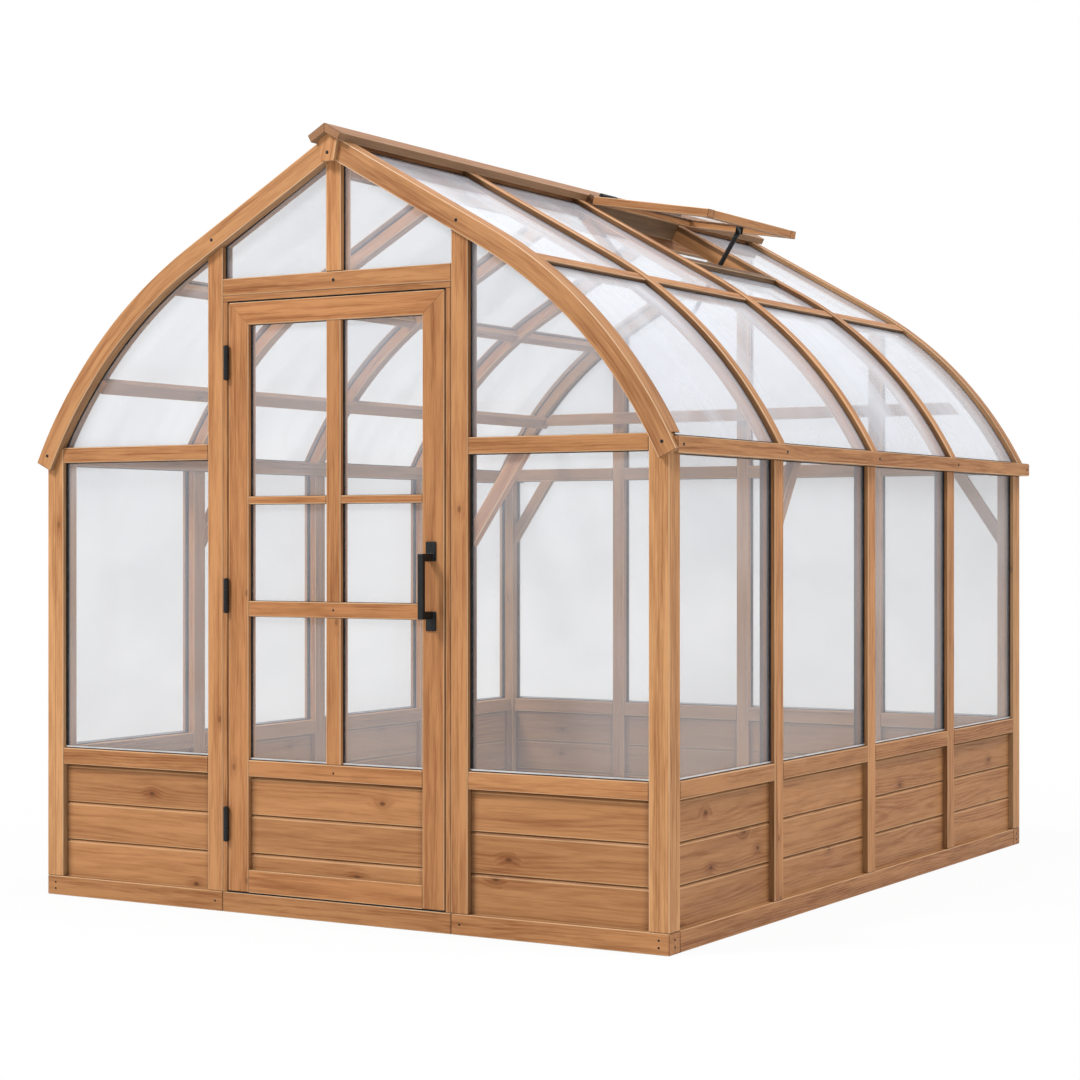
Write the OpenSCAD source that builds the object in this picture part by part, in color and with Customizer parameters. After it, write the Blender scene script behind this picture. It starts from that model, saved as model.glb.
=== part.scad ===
// Wooden greenhouse with a curved-eave glazed roof, a hinged door and a roof vent on a sliding stay.
// X runs across the front, Y runs back along the ridge, Z is up, and the base stands on Z = 0.
// The origin is at the middle of the footprint.

/* [Footprint] */
// Width over the two side walls
width = 2440; // [2300:10:2800]
// Length over the two gable walls
length = 3050; // [2900:10:3600]
// Height of the base rails on the ground
base_h = 66; // [50:1:90]
// Square section of the corner posts
post = 70; // [64:1:76]

/* [Wall frame] */
// Depth of the studs and rails, from the outer face inwards
frame_t = 56; // [50:1:60]
// Width of the studs along the side walls
stud_w = 65; // [50:1:75]
// Width of the studs in the rear wall
rear_stud_w = 55; // [45:1:65]
// Width of the two studs beside the door
door_stud_w = 62; // [50:1:75]
// Width of the king post over the door
king_w = 58; // [45:1:60]
// Height of one lining board of the lower wall
board_h = 130; // [110:1:135]
// Thickness of the wall boards
board_t = 20; // [16:1:24]
// Height of the chamfer along the top edge of each lining board
chamfer_h = 11; // [5:1:16]
// Depth of the chamfer along the top edge of each lining board
chamfer_d = 7; // [4:1:9]
// Height of the sill rail over the boards
sill_h = 55; // [45:1:65]
// Top of the crossbars at the eave
eave_z = 1550; // [1500:5:1600]
// Height of the crossbars at the eave
eave_h = 52; // [40:1:60]
// Setback of glass and boards from the outer face of the frame
setback = 20; // [16:1:24]
// Thickness of the glazing
glass_t = 4; // [3:0.5:6]

/* [Eave rail] */
// Height of the rail on top of the side walls
rail_h = 50; // [40:1:60]
// Step from the crossbar top down to the rail top
rail_drop = 10; // [6:1:16]
// Overhang of the rail past the wall
rail_out = 30; // [24:1:40]

/* [Roof] */
// Slope of the straight part of the roof
pitch = 29.5; // [28.5:0.1:30.5]
// Outer radius of the curved part
curve_r = 1600; // [1570:5:1620]
// Angle of the curve from upright where it meets the eave
curve_foot = 62.2; // [61:0.1:63]
// Step of the gable arches past the side walls at the eave
arch_out = 8; // [6:1:12]
// Depth of ribs and gable arches, square to the roof
rib_d = 66; // [58:1:72]
// Width of the ribs
rib_w = 45; // [38:1:52]
// Lap of the front arches in front of the wall
arch_lap = 20; // [14:1:24]
// Angle of the purlins round the curve, from upright
purlin_a = 35; // [34:0.1:36]
// Width of the purlins
purlin_w = 44; // [36:1:50]
// Thickness of the ridge beam
ridge_t = 40; // [34:1:46]
// Height of the ridge beam
ridge_h = 120; // [105:1:135]
// Width of each ridge cap board, down the slope
cap_w = 60; // [52:1:62]
// Thickness of the ridge cap boards
cap_t = 27; // [20:1:30]

/* [Door] */
// Width between the studs beside the door
opening_w = 902; // [850:2:940]
// Underside of the door header
header_z = 2040; // [2020:1:2045]
// Height of the door header
header_h = 56; // [48:1:60]
// Thickness of the door lining
lining_t = 20; // [16:1:24]
// Gap round the door leaf, which also takes the hinge leaves
leaf_gap = 5; // [5:0.5:6]
// Thickness of the door leaf
leaf_t = 42; // [40:1:42]
// Width of the door stiles
stile_w = 82; // [70:1:90]
// Height of the door's top rail
top_rail_h = 75; // [65:1:85]
// Height of the door's bottom rail
bottom_rail_h = 74; // [60:1:85]
// Top edge of the board panel in the door
panel_z = 453; // [440:1:470]
// Underside of the door's middle rail
middle_z = 980; // [950:1:1000]
// Underside of the thin glazing bars
bar_z = 1349; // [1330:1:1370]
// Width of the upright glazing bar
muntin_w = 56; // [45:1:62]
// Height of the door hinges
hinge_h = 112; // [100:1:120]
// Overall length of the pull handle
handle_h = 281; // [260:1:300]
// Distance from the door to the outside of the handle
handle_out = 64; // [56:1:66]

/* [Roof vent] */
// Length of the vent sash down the slope
sash_len = 490; // [480:1:495]
// Width of the sash members
sash_w = 45; // [40:1:50]
// Thickness of the sash
sash_t = 30; // [26:1:32]
// Opening angle of the vent as drawn
vent_open = 20; // [18:0.5:22]
// Distance of both stay pivots from the vent's hinge line
stay_r = 438; // [434:1:440]
// Diameter of the stay rod
stay_d = 18; // [16:1:19]

/* [Clearances] */
// Radial clearance of hinge pins and stay pivots
pin_gap = 0.05; // [0.03:0.01:0.08]
// Radial clearance of the stay rod in its guide
slide_gap = 0.1; // [0.05:0.01:0.1]
// Space under the closed vent sash
seat_gap = 2; // [1:0.5:3]
// Gap in the joints between the separate timbers of one node
joint_gap = 0.2; // [0.1:0.05:0.3]
// Gap under the ridge cap and the gable arches
fit_gap = 0.05; // [0.03:0.01:0.1]

/* [Hidden] */
wood = "#c08a55";
wood_dark = "#a87348";
glazing = "#cfd8dd80";
black_metal = "#202224";
far = 4000;

// Walls
front_y = -length / 2;
rear_y = length / 2;
side_x = width / 2;
post_x = side_x - post;
post_y = rear_y - post;
bays = 4;
bay = length / bays;
rail_top = eave_z - rail_drop;
wall_z = rail_top - rail_h;
sill_z = base_h + 3 * board_h;
pane_z = sill_z + sill_h;
bar_low_z = eave_z - eave_h;
stud_out = opening_w / 2 + door_stud_w;
rear_stud_x = side_x / 2;

// Roof profile: a slope down to flat_x, then an arc round (arc_x, arc_z)
arc_x = side_x + arch_out - curve_r * sin(curve_foot);
arc_z = eave_z - curve_r * cos(curve_foot);
flat_x = arc_x + curve_r * sin(pitch);
flat_s = flat_x / cos(pitch);
ridge_z = arc_z + curve_r * cos(pitch) + flat_x * tan(pitch);
foot_a = curve_foot + 2;
eave_a = curve_foot + 6;
purlin_half = purlin_w / 2 / curve_r * 180 / PI;
purlin_top = 6;
purlin_bottom = 50;
arch_y = front_y - arch_lap;
keystone_t = 14;
keystone_bolt = 62;

// Door
lining_x = opening_w / 2 - lining_t;
leaf_x = lining_x - leaf_gap;
leaf_z = base_h + leaf_gap;
leaf_top = header_z - lining_t - leaf_gap;
leaf_back = front_y + leaf_t;
stop_w = 12;
stop_y = leaf_back + 1.5;
barrel_r = 9;
pin_r = 2.5;
hinge_plate = (leaf_gap - 1) / 2;
hinge_y = front_y - barrel_r - 0.5;
hinge_x = -lining_x + leaf_gap / 2;
hinge_low = 165;
hinge_rise = 11;
hinge_down = 142;
door_hinge_z = [leaf_z + hinge_low, middle_z + hinge_rise, leaf_top - hinge_down - hinge_h];
door_leaf_d = 34;
middle_h = 50;
panel_rail_h = 53;
bar_h = 25;
door_glass_y = front_y + 18;
door_board_h = 126;
door_board_y = front_y + 14;
door_board_t = 16;
catch_inset = 96;
catch_x = leaf_x - catch_inset;
catch_w = 60;

// Vent
vent_bay = 2;
vent_y0 = front_y + vent_bay * bay + rib_w / 2;
vent_y1 = front_y + (vent_bay + 1) * bay - rib_w / 2;
vent_mid = (vent_y0 + vent_y1) / 2;
curb_s = 84;
curb_w = 24;
curb_top = seat_gap + sash_t;
hinge_s = curb_s + leaf_gap / 2;
hinge_v = curb_top + barrel_r + 0.5;
sash_y0 = vent_y0 - rib_w / 2 + 2;
sash_y1 = vent_y1 + rib_w / 2 - 2;
sash_top = curb_top - hinge_v;
sash_low = sash_top - sash_t;
sash_u = leaf_gap / 2;
trimmer_end = curb_s + leaf_gap + sash_len - 2;
trimmer_w = 40;
vent_leaf_d = 28;
vent_hinge_y = [vent_y0 + 40, vent_y1 - 40 - hinge_h];

// Stay: both of its pivots lie at stay_r from the vent's hinge line, so it turns half as far
pin_drop = 18;
stay_pin_w = sash_low - pin_drop;
stay_pin_u = sqrt(stay_r * stay_r - stay_pin_w * stay_pin_w);
stay_pin_a = asin(-stay_pin_w / stay_r);
stay_closed_a = 11;
stay_foot_a = stay_pin_a + stay_closed_a;
stay_foot_s = hinge_s + stay_r * cos(stay_foot_a);
stay_foot_v = hinge_v - stay_r * sin(stay_foot_a);
stay_dir = 90 + vent_open / 2 - stay_pin_a - stay_closed_a / 2;
stay_len = 2 * stay_r * sin((vent_open + stay_closed_a) / 2);
stay_tail = 160;
stay_pin_r = 3;
eye_slot = 4.5;
trunnion_r = 4;
guide_half = 16;

// Height of the roof at x, a depth d under its outer face
function roof_z(x, d) = x <= arc_x + (curve_r - d) * sin(pitch)
    ? ridge_z - d / cos(pitch) - x * tan(pitch)
    : arc_z + sqrt(pow(curve_r - d, 2) - pow(x - arc_x, 2));

// Ends of a wall bay, between posts and studs
function bay_start(i) = i == 0 ? front_y + post : front_y + i * bay + stud_w / 2;
function bay_end(i) = i == bays - 1 ? rear_y - post : front_y + (i + 1) * bay - stud_w / 2;

// Ends of a roof bay, between ribs and arches
function roof_start(i) = i == 0 ? front_y + frame_t : front_y + i * bay + rib_w / 2;
function roof_end(i) = i == bays - 1 ? rear_y - frame_t : front_y + (i + 1) * bay - rib_w / 2;

// Ends of a bay of the rear wall
rear_edges = [-post_x, -rear_stud_x, 0, rear_stud_x, post_x];
function rear_start(i) = rear_edges[i] + (i == 0 ? 0 : rear_stud_w / 2);
function rear_end(i) = rear_edges[i + 1] - (i == bays - 1 ? 0 : rear_stud_w / 2);

module box(x, y, z) {
    translate([x[0], y[0], z[0]]) cube([x[1] - x[0], y[1] - y[0], z[1] - z[0]]);
}

module both_sides() {
    children();
    mirror([1, 0, 0]) children();
}

// Stands a flat shape drawn in X and Z up between two Y planes
module upright(y0, y1) {
    translate([0, y1, 0]) rotate([90, 0, 0]) linear_extrude(height = y1 - y0) children();
}

// Roof slope: X down the slope, Z square to it
module on_slope() {
    translate([0, 0, ridge_z]) rotate([0, pitch, 0]) children();
}

// Straight part of the roof profile, between two depths and two distances down the slope
module flat_band(d0, d1, s0, s1) {
    translate([0, ridge_z]) rotate(-pitch) translate([s0, -d1]) square([s1 - s0, d1 - d0]);
}

// Curved part of the roof profile, between two depths and two angles from upright
module arc_band(d0, d1, a0, a1) {
    translate([arc_x, arc_z]) intersection() {
        difference() {
            circle(r = curve_r - d0, $fn = 360);
            circle(r = curve_r - d1, $fn = 360);
        }
        polygon([[0, 0], far * [sin(a0), cos(a0)], far * [sin(a1), cos(a1)]]);
    }
}

// Slope and curve in one, with a key across the line where they meet
module roof_band(d0, d1, s0, a1) {
    key = (d1 - d0) / 4;
    flat_band(d0, d1, s0, flat_s);
    flat_band(d0 + key, d1 - key, flat_s - key, flat_s + key);
    arc_band(d0, d1, pitch, a1);
}

// Keeps what lies right of x and above z
module right_above(x, z) {
    intersection() {
        children();
        translate([x, z]) square([far, far]);
    }
}

// The right half of the space under the roof, at a depth under its outer face
module under_roof(d) {
    turn_x = arc_x + (curve_r - d) * sin(pitch);
    polygon([[0, 0], [turn_x, 0], [turn_x, roof_z(turn_x, d)], [0, roof_z(0, d)]]);
    intersection() {
        translate([arc_x, arc_z]) circle(r = curve_r - d, $fn = 360);
        translate([turn_x, 0]) square([far, far]);
    }
}

// A rectangle from x0 to x1 and up from z0, cut off by the underside of the gable arch
module gable_cell(x0, x1, z0) {
    intersection() {
        under_roof(rib_d + fit_gap);
        translate([x0, z0]) square([x1 - x0, far]);
    }
}

// A rebated board along X with its outer face on Y = 0
module board(len, height, thick) {
    profile = [[0, 0], [thick, 0], [thick, height], [chamfer_d, height], [0, height - chamfer_h]];
    rotate([90, 0, 90]) linear_extrude(height = len) polygon(profile);
}

module board_stack(len) {
    for (i = [0:2]) translate([0, 0, i * board_h]) board(len, board_h - joint_gap, board_t);
}

// Base

module base_rail_front_left() {
    color(wood) box([-side_x, -opening_w / 2], [front_y, front_y + post], [0, base_h]);
}

module base_rail_front_right() {
    color(wood) box([opening_w / 2, side_x], [front_y, front_y + post], [0, base_h]);
}

module door_threshold() {
    color(wood) box([-opening_w / 2, opening_w / 2], [front_y, front_y + post], [0, base_h]);
}

module base_rails_side() {
    color(wood) both_sides() box([post_x, side_x], [front_y + post, post_y], [0, base_h]);
}

module base_rail_rear() {
    color(wood) box([-side_x, side_x], [post_y, rear_y], [0, base_h]);
}

// Wall frame

module front_corner_post() {
    tongue = post / 2;
    difference() {
        box([post_x, side_x], [front_y, front_y + post], [base_h, eave_z]);
        box([post_x - 1, side_x + 1], [front_y + tongue, front_y + post + 1], [wall_z, far]);
    }
}

module corner_posts() {
    color(wood) both_sides() {
        front_corner_post();
        box([post_x, side_x], [post_y, rear_y], [base_h, wall_z]);
    }
}

module door_studs() {
    color(wood) both_sides() upright(front_y, front_y + frame_t)
        gable_cell(opening_w / 2, stud_out, base_h);
}

module side_studs_right() {
    color(wood) for (i = [1:bays - 1]) {
        y = front_y + i * bay;
        box([side_x - frame_t, side_x], [y - stud_w / 2, y + stud_w / 2], [base_h, wall_z]);
    }
}

module side_studs_left() {
    mirror([1, 0, 0]) side_studs_right();
}

module rear_studs() {
    half = rear_stud_w / 2;
    color(wood) {
        both_sides() upright(rear_y - frame_t, rear_y)
            gable_cell(rear_stud_x - half, rear_stud_x + half, base_h);
        upright(rear_y - frame_t, rear_y) {
            gable_cell(0, half, base_h);
            mirror([1, 0]) gable_cell(0, half, base_h);
        }
    }
}

module sill_rails_front() {
    color(wood) both_sides()
        box([stud_out, post_x], [front_y, front_y + frame_t], [sill_z, pane_z]);
}

module sill_rails_side() {
    color(wood) both_sides() for (i = [0:bays - 1])
        box([side_x - frame_t, side_x], [bay_start(i), bay_end(i)], [sill_z, pane_z]);
}

module sill_rails_rear() {
    color(wood) for (i = [0:bays - 1])
        box([rear_start(i), rear_end(i)], [rear_y - frame_t, rear_y], [sill_z, pane_z]);
}

module boards_front() {
    color(wood) both_sides() translate([stud_out, front_y + setback, base_h])
        board_stack(post_x - stud_out);
}

module boards_right() {
    color(wood) for (i = [0:bays - 1])
        translate([side_x - setback, bay_start(i), base_h]) rotate([0, 0, 90])
            board_stack(bay_end(i) - bay_start(i));
}

module boards_left() {
    mirror([1, 0, 0]) boards_right();
}

module boards_rear() {
    color(wood) for (i = [0:bays - 1])
        translate([rear_start(i), rear_y - setback, base_h]) mirror([0, 1, 0])
            board_stack(rear_end(i) - rear_start(i));
}

module crossbars() {
    color(wood) {
        both_sides()
            box([stud_out, post_x], [front_y, front_y + frame_t], [bar_low_z, eave_z]);
        for (i = [0:bays - 1])
            box([rear_start(i), rear_end(i)], [rear_y - frame_t, rear_y], [bar_low_z, eave_z]);
    }
}

module door_header() {
    z = [header_z, header_z + header_h];
    color(wood) box([-opening_w / 2, opening_w / 2], [front_y, front_y + frame_t], z);
}

module king_post() {
    color(wood) upright(front_y, front_y + frame_t) {
        gable_cell(0, king_w / 2, header_z + header_h);
        mirror([1, 0]) gable_cell(0, king_w / 2, header_z + header_h);
    }
}

// A brace in X and Z whose corner of post and bar is at the origin, running along +X
module brace_shape() {
    rise = 250;
    run = 170;
    half = 22 * sqrt(rise * rise + run * run);
    foot = half / run;
    head = half / rise;
    polygon([[0, -rise - foot], [0, -rise + foot], [run - head, 0], [run + head, 0]]);
}

module knee_braces() {
    brace_t = 30;
    inner_y = front_y + frame_t;
    color(wood) {
        translate([stud_out, 0, bar_low_z]) upright(inner_y - brace_t, inner_y) brace_shape();
        both_sides() translate([-post_x, 0, bar_low_z])
            upright(rear_y - frame_t, rear_y - frame_t + brace_t) brace_shape();
        both_sides() translate([side_x - frame_t, front_y + bay + stud_w / 2, wall_z])
            rotate([0, 0, 90]) upright(-brace_t, 0) brace_shape();
    }
}

// Eave and gables

module eave_rail_right() {
    nose = 10;
    low = wall_z;
    out = side_x + rail_out;
    end = rear_y + rail_out;
    color(wood) union() {
        box([post_x, out], [front_y + post / 2, end - nose], [low, rail_top]);
        box([side_x, out], [front_y, front_y + post / 2], [low, rail_top]);
        box([post_x, out], [end - nose, end], [low + nose, rail_top - nose]);
        for (z = [low + nose, rail_top - nose])
            translate([post_x, end - nose, z]) rotate([0, 90, 0])
                cylinder(r = nose, h = out - post_x, $fn = 48);
    }
}

module eave_rail_left() {
    mirror([1, 0, 0]) eave_rail_right();
}

module arch_front_right() {
    color(wood) union() {
        upright(arch_y, front_y + frame_t)
            right_above(0, eave_z) roof_band(0, rib_d, -rib_d, eave_a);
        upright(arch_y, front_y) right_above(0, 0) roof_band(0, rib_d, -rib_d, foot_a);
    }
}

module arch_front_left() {
    mirror([1, 0, 0]) arch_front_right();
}

module arches_rear() {
    color(wood) both_sides() upright(rear_y - frame_t, rear_y)
        right_above(0, rail_top) roof_band(0, rib_d, -rib_d, eave_a);
}

module ribs_right() {
    color(wood) for (i = [1:bays - 1]) {
        y = front_y + i * bay;
        upright(y - rib_w / 2, y + rib_w / 2)
            right_above(ridge_t / 2, rail_top) roof_band(0, rib_d, 0, eave_a);
    }
}

module ribs_left() {
    mirror([1, 0, 0]) ribs_right();
}

module keystone_plate() {
    top = 39;
    low = 24;
    drop = 90;
    shoulder = ridge_z - top * tan(pitch);
    foot = ridge_z - drop;
    outline = [[-low, foot], [low, foot], [top, shoulder], [0, ridge_z], [-top, shoulder]];
    color(wood) upright(arch_y - keystone_t, arch_y) polygon(outline);
}

module ridge_beam() {
    half = ridge_t / 2;
    shoulder = ridge_z - half * tan(pitch);
    low = shoulder - ridge_h;
    outline = [[-half, low], [half, low], [half, shoulder], [0, ridge_z], [-half, shoulder]];
    color(wood) upright(front_y + frame_t, rear_y - frame_t) polygon(outline);
}

module ridge_cap() {
    overhang = 30;
    color(wood_dark) both_sides() upright(arch_y - overhang, rear_y + overhang)
        right_above(joint_gap / 2, 0) flat_band(-cap_t, -fit_gap, -cap_t, cap_w);
}

module purlins() {
    color(wood) both_sides() for (i = [0:bays - 1]) upright(roof_start(i), roof_end(i))
        arc_band(purlin_top, purlin_bottom, purlin_a - purlin_half, purlin_a + purlin_half);
}

// The rail inside the left curve and the bar across the rear gable, as seen through the glass
module inner_ties() {
    tie_h = 50;
    tie_t = 28;
    tie_a = 51;
    tie_clear = tie_t + 4;
    tie_gap = 0.3;
    tie_r = curve_r - rib_d - tie_gap;
    tie_z = arc_z + tie_r * cos(tie_a);
    reach = frame_t - setback - glass_t - tie_gap;
    inner_y = rear_y - frame_t;
    color(wood) {
        mirror([1, 0, 0]) upright(front_y + frame_t - reach, inner_y + reach)
            translate([arc_x, arc_z]) rotate(90 - tie_a)
                translate([tie_r - tie_t, -tie_h / 2]) square([tie_t, tie_h]);
        upright(inner_y - tie_t, inner_y) intersection() {
            union() {
                under_roof(rib_d + tie_clear);
                mirror([1, 0]) under_roof(rib_d + tie_clear);
            }
            translate([-side_x, tie_z - tie_h / 2]) square([width, tie_h]);
        }
    }
}

module vent_trimmers() {
    color(wood) {
        upright(vent_y0, vent_y1) right_above(ridge_t / 2, 0) {
            flat_band(0, rib_d, 0, curb_s);
            flat_band(-curb_top, 0, curb_s - curb_w, curb_s);
        }
        upright(vent_y0, vent_y1) flat_band(0, rib_d, trimmer_end - trimmer_w, trimmer_end);
    }
}

// Glazing

module wall_panes() {
    inset = [front_y + setback, front_y + setback + glass_t];
    color(glazing) {
        both_sides() {
            box([stud_out, post_x], inset, [pane_z, bar_low_z]);
            for (i = [0:bays - 1])
                box([side_x - setback - glass_t, side_x - setback], [bay_start(i), bay_end(i)],
                    [pane_z, wall_z]);
        }
        for (i = [0:bays - 1])
            box([rear_start(i), rear_end(i)], [-inset[1], -inset[0]], [pane_z, bar_low_z]);
    }
}

module gable_panes() {
    front = [front_y + setback, front_y + setback + glass_t];
    half = rear_stud_w / 2;
    color(glazing) both_sides() {
        upright(front[0], front[1]) gable_cell(stud_out, side_x, eave_z);
        upright(front[0], front[1]) gable_cell(king_w / 2, opening_w / 2, header_z + header_h);
        upright(-front[1], -front[0]) gable_cell(half, rear_stud_x - half, eave_z);
        upright(-front[1], -front[0]) gable_cell(rear_stud_x + half, side_x, eave_z);
    }
}

module flat_pane(i) {
    upright(roof_start(i), roof_end(i)) right_above(ridge_t / 2, 0)
        roof_band(setback, setback + glass_t, 0, purlin_a - purlin_half);
}

module roof_panes_flat() {
    color(glazing) {
        mirror([1, 0, 0]) for (i = [0:bays - 1]) flat_pane(i);
        for (i = [0:bays - 1]) if (i != vent_bay) flat_pane(i);
        upright(vent_y0, vent_y1)
            roof_band(setback, setback + glass_t, trimmer_end, purlin_a - purlin_half);
    }
}

module roof_panes_curved() {
    color(glazing) both_sides() for (i = [0:bays - 1]) upright(roof_start(i), roof_end(i))
        right_above(0, rail_top)
            arc_band(setback, setback + glass_t, purlin_a + purlin_half, eave_a);
}

// Screw heads of the fixed frame

module screw_head(r) {
    head_t = 1.2;
    cylinder(r = r, h = head_t, $fn = 32);
}

module front_screw(x, z, y, r) {
    translate([x, y, z]) rotate([90, 0, 0]) screw_head(r);
}

module side_screw(y, z, x, r) {
    translate([x, y, z]) rotate([0, 90, 0]) screw_head(r);
}

module frame_screws() {
    small = 3.5;
    bolt = 5.5;
    edge = 36;
    past_wall = 4;
    foot_mid = foot_a - 1.5;
    foot_r = curve_r - rib_d / 2;
    stud_mid = (opening_w / 2 + stud_out) / 2;
    rail_mid = (wall_z + rail_top) / 2;
    color(black_metal) {
        both_sides() {
            for (z = [base_h / 3, base_h * 2 / 3]) {
                front_screw(side_x - edge, z, front_y, small);
                for (y = [front_y + edge, rear_y - edge]) side_screw(y, z, side_x, small);
            }
            front_screw(stud_out - door_stud_w / 2, base_h / 2, front_y, small);
            front_screw(stud_mid, roof_z(stud_mid, rib_d / 2), arch_y, bolt);
            front_screw(arc_x + foot_r * sin(foot_mid), arc_z + foot_r * cos(foot_mid), arch_y, bolt);
            for (y = [front_y + edge, front_y + bay, 0, rear_y - bay, rear_y + past_wall])
                side_screw(y, rail_mid, side_x + rail_out, bolt);
        }
        front_screw(0, header_z + header_h / 2, front_y, bolt);
        front_screw(0, ridge_z - keystone_bolt, arch_y - keystone_t, bolt);
    }
}

// Door frame

module door_lining() {
    back = front_y + frame_t;
    low = header_z - lining_t;
    color(wood) {
        both_sides() union() {
            box([lining_x, opening_w / 2], [front_y, back], [base_h, low - joint_gap]);
            box([lining_x - stop_w, lining_x], [stop_y, back],
                [base_h, low - stop_w - joint_gap]);
        }
        union() {
            box([-opening_w / 2, opening_w / 2], [front_y, back], [low, header_z]);
            box([-lining_x + joint_gap, lining_x - joint_gap], [stop_y, back],
                [low - stop_w, low]);
        }
    }
}

// Butt hinge with its pin on Z: both plates run back along +Y, the fixed one on the -X side

module hinge_bore() {
    translate([0, 0, -1]) cylinder(r = pin_r + pin_gap, h = hinge_h + 2, $fn = 32);
}

module fixed_leaf(depth) {
    play = 0.5;
    third = hinge_h / 3;
    difference() {
        union() {
            for (z = [0, 2 * third + play]) translate([0, 0, z]) {
                cylinder(r = barrel_r, h = third - play, $fn = 48);
                translate([-leaf_gap / 2, 0, 0]) cube([hinge_plate, barrel_r + 1, third - play]);
            }
            translate([-leaf_gap / 2, barrel_r + 0.5, 0])
                cube([hinge_plate, depth - barrel_r, hinge_h]);
        }
        hinge_bore();
    }
}

module moving_leaf(depth) {
    third = hinge_h / 3;
    difference() {
        union() {
            translate([0, 0, third]) cylinder(r = barrel_r, h = third, $fn = 48);
            translate([leaf_gap / 2 - hinge_plate, 0, third])
                cube([hinge_plate, barrel_r + 1, third]);
            translate([leaf_gap / 2 - hinge_plate, barrel_r + 0.5, 0])
                cube([hinge_plate, depth - barrel_r, hinge_h]);
        }
        hinge_bore();
    }
}

module hinge_pin() {
    head_t = 2;
    cylinder(r = pin_r, h = hinge_h, $fn = 32);
    for (z = [-head_t, hinge_h]) translate([0, 0, z])
        cylinder(r = pin_r + 2, h = head_t, $fn = 32);
}

module at_door_hinges() {
    for (z = door_hinge_z) translate([hinge_x, hinge_y, z]) children();
}

// Turns a hinge drawn on Z onto the vent's hinge line, with its plates pointing inwards
module lay_vent_hinges() {
    for (y = vent_hinge_y) translate([0, y, 0]) rotate([-90, 0, 0]) children();
}

module fixed_hinge_leaves() {
    color(black_metal) {
        at_door_hinges() fixed_leaf(door_leaf_d);
        on_slope() translate([hinge_s, 0, hinge_v]) lay_vent_hinges() fixed_leaf(vent_leaf_d);
    }
}

module hinge_pins() {
    color(black_metal) {
        at_door_hinges() hinge_pin();
        on_slope() translate([hinge_s, 0, hinge_v]) lay_vent_hinges() hinge_pin();
    }
}

module door_catch() {
    top = header_z - lining_t - stop_w;
    y = stop_y + 0.3;
    half = catch_w / 2;
    color(black_metal) box([catch_x - half, catch_x + half], [y, y + 16], [top - 18, top]);
}

// Door leaf

module door_stiles() {
    inner = leaf_x - stile_w;
    outline = [[inner, leaf_z], [leaf_x, leaf_z], [leaf_x, leaf_top],
        [inner, leaf_top - top_rail_h]];
    color(wood) both_sides() upright(front_y, leaf_back) polygon(outline);
}

module door_rails() {
    inner = leaf_x - stile_w;
    low = leaf_top - top_rail_h;
    color(wood) {
        upright(front_y, leaf_back)
            polygon([[-inner, low], [inner, low], [leaf_x, leaf_top], [-leaf_x, leaf_top]]);
        box([-inner, inner], [front_y, leaf_back], [middle_z, middle_z + middle_h]);
        box([-inner, inner], [front_y, leaf_back], [panel_z, panel_z + panel_rail_h]);
        box([-inner, inner], [front_y, leaf_back], [leaf_z, leaf_z + bottom_rail_h]);
    }
}

module door_glazing_bars() {
    half = muntin_w / 2;
    inner = leaf_x - stile_w;
    color(wood) {
        box([-half, half], [front_y, leaf_back], [panel_z + panel_rail_h, middle_z]);
        box([-half, half], [front_y, leaf_back], [middle_z + middle_h, leaf_top - top_rail_h]);
        both_sides()
            box([half + joint_gap, inner], [front_y, leaf_back], [bar_z, bar_z + bar_h]);
    }
}

module door_boards() {
    inner = leaf_x - stile_w;
    low = leaf_z + bottom_rail_h;
    rest = panel_z - low - 2 * door_board_h;
    color(wood) translate([-inner, door_board_y, low]) {
        board(2 * inner, rest - joint_gap, door_board_t);
        for (i = [0:1]) translate([0, 0, rest + i * door_board_h])
            board(2 * inner, door_board_h - joint_gap, door_board_t);
    }
}

module door_panes() {
    half = muntin_w / 2;
    inner = leaf_x - stile_w;
    rows = [[panel_z + panel_rail_h, middle_z], [middle_z + middle_h, bar_z],
        [bar_z + bar_h, leaf_top - top_rail_h]];
    color(glazing) both_sides() for (row = rows)
        box([half, inner], [door_glass_y, door_glass_y + glass_t], row);
}

module door_hinge_leaves() {
    color(black_metal) at_door_hinges() moving_leaf(door_leaf_d);
}

// Pull handle: two foot plates, two necks and a flat grip
handle_inset = 48;
handle_x = leaf_x - handle_inset;
handle_z = 945;
grip_w = 20;
grip_t = 14;
grip_inset = 38;
handle_foot_t = 5;

module handle_end() {
    foot_w = 38;
    foot_h = 62;
    neck_h = 24;
    half = grip_w / 2;
    box([-foot_w / 2, foot_w / 2], [-handle_foot_t, 0], [0, foot_h]);
    box([-half, half], [-handle_out, 0], [grip_inset, grip_inset + neck_h]);
}

module door_handle() {
    half = grip_w / 2;
    color(black_metal) translate([handle_x, front_y, handle_z]) union() {
        handle_end();
        translate([0, 0, handle_h]) mirror([0, 0, 1]) handle_end();
        box([-half, half], [-handle_out, grip_t - handle_out],
            [grip_inset, handle_h - grip_inset]);
    }
}

module door_catch_plate() {
    plate_h = 14;
    plate_t = 1.2;
    top = leaf_top - 10;
    half = catch_w / 2 - 10;
    color(black_metal)
        box([catch_x - half, catch_x + half], [leaf_back, leaf_back + plate_t], [top - plate_h, top]);
}

module door_screws() {
    small = 3.5;
    inset = 12;
    plate_face = front_y - handle_foot_t;
    color(black_metal) {
        front_screw(0, middle_z + middle_h / 2, front_y, small);
        front_screw(0, panel_z + panel_rail_h / 2, front_y, small);
        for (z = [handle_z + inset, handle_z + handle_h - inset])
            front_screw(handle_x, z, plate_face, small);
    }
}

// Roof vent

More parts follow.
